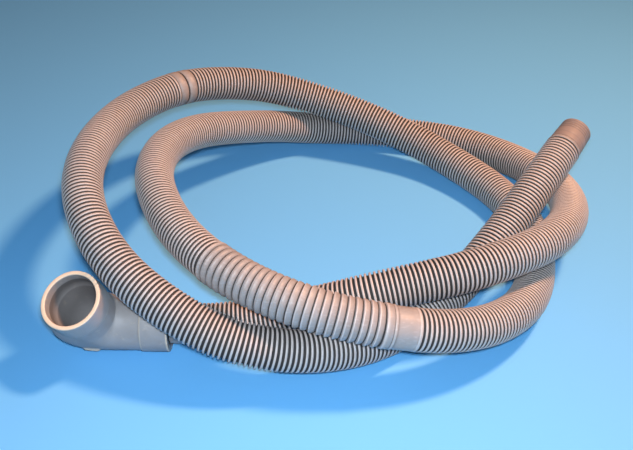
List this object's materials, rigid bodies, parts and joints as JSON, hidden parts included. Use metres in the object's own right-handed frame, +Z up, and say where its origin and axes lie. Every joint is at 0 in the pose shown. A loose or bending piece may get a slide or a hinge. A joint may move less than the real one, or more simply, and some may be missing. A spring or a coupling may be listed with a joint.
{
  "type": "washing machine drain hose",
  "caption": "Long corrugated drain hose lying in loose loops, with a soft elbow cuff on one end and a short straight cuff on the other.",
  "frame": {"origin": "on the floor under the middle of the box around the whole hose as it lies", "axes": "+Z up; +Y away from the side the picture was taken from; +X to the right, from the elbow cuff towards the end cuff"},
  "size_m": [0.394, 0.3325, 0.1033],
  "materials": {
    "hose_plastic": "satin, warm grey",
    "elbow_rubber": "smooth satin, cool grey",
    "cuff_rubber": "smooth satin, warm grey"
  },
  "bodies": {
    "root": {"corrugated_hose": "hose_plastic", "elbow_cuff": "elbow_rubber", "end_cuff": "cuff_rubber"}
  },
  "joints": []
}
